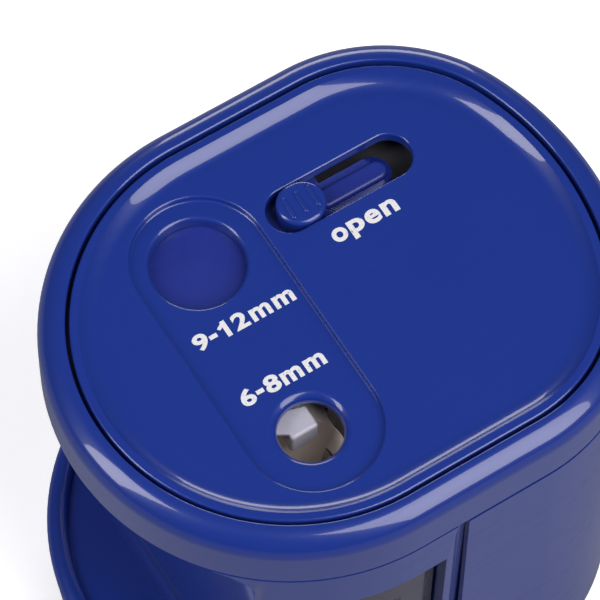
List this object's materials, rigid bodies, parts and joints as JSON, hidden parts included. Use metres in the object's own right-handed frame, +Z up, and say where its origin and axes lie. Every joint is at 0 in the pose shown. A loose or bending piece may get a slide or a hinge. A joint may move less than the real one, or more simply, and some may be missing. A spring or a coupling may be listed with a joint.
{
  "type": "electric pencil sharpener",
  "caption": "Battery desk sharpener with a rounded head, two pencil holes under a sliding shutter, geared cutters and a pull-out shavings bin.",
  "frame": {"origin": "middle of the footprint, on the surface that the feet stand on", "axes": "+Z up, -Y the front with the shavings bin, +X the battery end"},
  "size_m": [0.082, 0.0686, 0.0761],
  "materials": {
    "blue_gloss": "polished moulded ABS",
    "blue_satin": "satin moulded ABS",
    "foot_rubber": "matt",
    "zinc_screw": "zinc plated",
    "grey_plastic": "satin moulded ABS",
    "ground_steel": "ground",
    "white_nylon": "natural nylon",
    "cream_nylon": "natural acetal",
    "dark_metal": "oiled steel",
    "blade_steel": "hardened and ground",
    "black_plastic": "satin moulded",
    "red_plastic": "satin moulded",
    "motor_plating": "zinc plated",
    "contact_brass": "bright",
    "magnet_ferrite": "matt ferrite",
    "rotor_iron": "laminated",
    "cell_sleeve": "printed film",
    "contact_nickel": "nickel plated",
    "smoke_clear": "polished transparent styrene"
  },
  "bodies": {
    "housing": {"base_tray": "blue_gloss", "base_plate": "blue_satin", "rubber_feet": "foot_rubber", "base_screws": "zinc_screw", "body_shell": "blue_gloss", "side_cover": "blue_gloss", "head_shell": "blue_gloss", "top_panel": "blue_gloss", "gear_frame": "grey_plastic", "frame_screws": "zinc_screw", "upper_deck": "grey_plastic", "deck_screws": "zinc_screw", "drive_axle": "ground_steel", "guide_sleeve_small": "dark_metal", "guide_sleeve_large": "dark_metal", "lever_pins": "ground_steel", "touch_switches": "black_plastic", "switch_buttons": "red_plastic", "motor_can": "motor_plating", "motor_end_cap": "black_plastic", "motor_terminals": "contact_brass", "motor_magnets": "magnet_ferrite", "motor_screws": "zinc_screw", "battery_cells": "cell_sleeve", "cell_rack": "grey_plastic", "contact_board": "grey_plastic", "top_contacts": "contact_nickel", "bin_switch": "black_plastic"},
    "shutter": {"shutter_plate": "blue_satin", "slide_knob": "blue_gloss"},
    "bin": {"bin_tray": "smoke_clear", "bin_pull": "smoke_clear"},
    "lid": {"battery_lid": "blue_satin", "cell_springs": "contact_nickel"},
    "cutter_large": {"cutter_gear_large": "cream_nylon", "cutter_block_large": "cream_nylon", "cutter_blade_large": "blade_steel", "blade_screw_large": "zinc_screw"},
    "cutter_small": {"cutter_gear_small": "cream_nylon", "cutter_block_small": "cream_nylon", "cutter_blade_small": "blade_steel", "blade_screw_small": "zinc_screw"},
    "drive": {"drive_gear": "white_nylon"},
    "rotor": {"motor_rotor": "rotor_iron", "motor_shaft": "ground_steel", "motor_pinion": "contact_brass"},
    "lever_small": {"pencil_lever_small": "white_nylon"},
    "lever_large": {"pencil_lever_large": "white_nylon"}
  },
  "joints": [
    {"name": "shutter_slide", "type": "slide", "parent": "housing", "child": "shutter", "axis": [1, 0, 0], "range_m": [0, 0.0134]},
    {"name": "bin_slide", "type": "slide", "parent": "housing", "child": "bin", "axis": [0, -1, 0], "range_m": [0, 0.054]},
    {"name": "lid_hinge", "type": "hinge", "parent": "housing", "child": "lid", "pos_m": [0.0087, 0, 0.0016], "axis": [0, 1, 0], "range_deg": [0, 95]},
    {"name": "cutter_large_spin", "type": "hinge", "parent": "housing", "child": "cutter_large", "pos_m": [-0.0124, 0.014, 0.06], "axis": [0, 0, 1], "continuous": true},
    {"name": "cutter_small_spin", "type": "hinge", "parent": "housing", "child": "cutter_small", "pos_m": [-0.0124, -0.014, 0.06], "axis": [0, 0, 1], "continuous": true},
    {"name": "drive_spin", "type": "hinge", "parent": "housing", "child": "drive", "pos_m": [0.00188, 0, 0.06], "axis": [0, 0, 1], "continuous": true},
    {"name": "motor_spin", "type": "hinge", "parent": "housing", "child": "rotor", "pos_m": [0.01168, 0, 0.06], "axis": [0, 0, 1], "continuous": true},
    {"name": "lever_small_swing", "type": "hinge", "parent": "housing", "child": "lever_small", "pos_m": [-0.022, -0.005, 0.0698], "axis": [0, 0, 1], "range_deg": [0, 18], "stiffness_Nm_per_rad": 0.004},
    {"name": "lever_large_swing", "type": "hinge", "parent": "housing", "child": "lever_large", "pos_m": [-0.022, 0.005, 0.0698], "axis": [0, 0, -1], "range_deg": [0, 18], "stiffness_Nm_per_rad": 0.004}
  ],
  "couplings": [
    {"joint": "drive_spin", "follows": "cutter_large_spin", "ratio": -1.5},
    {"joint": "cutter_small_spin", "follows": "cutter_large_spin", "ratio": 1},
    {"joint": "motor_spin", "follows": "cutter_large_spin", "ratio": 5.85}
  ]
}
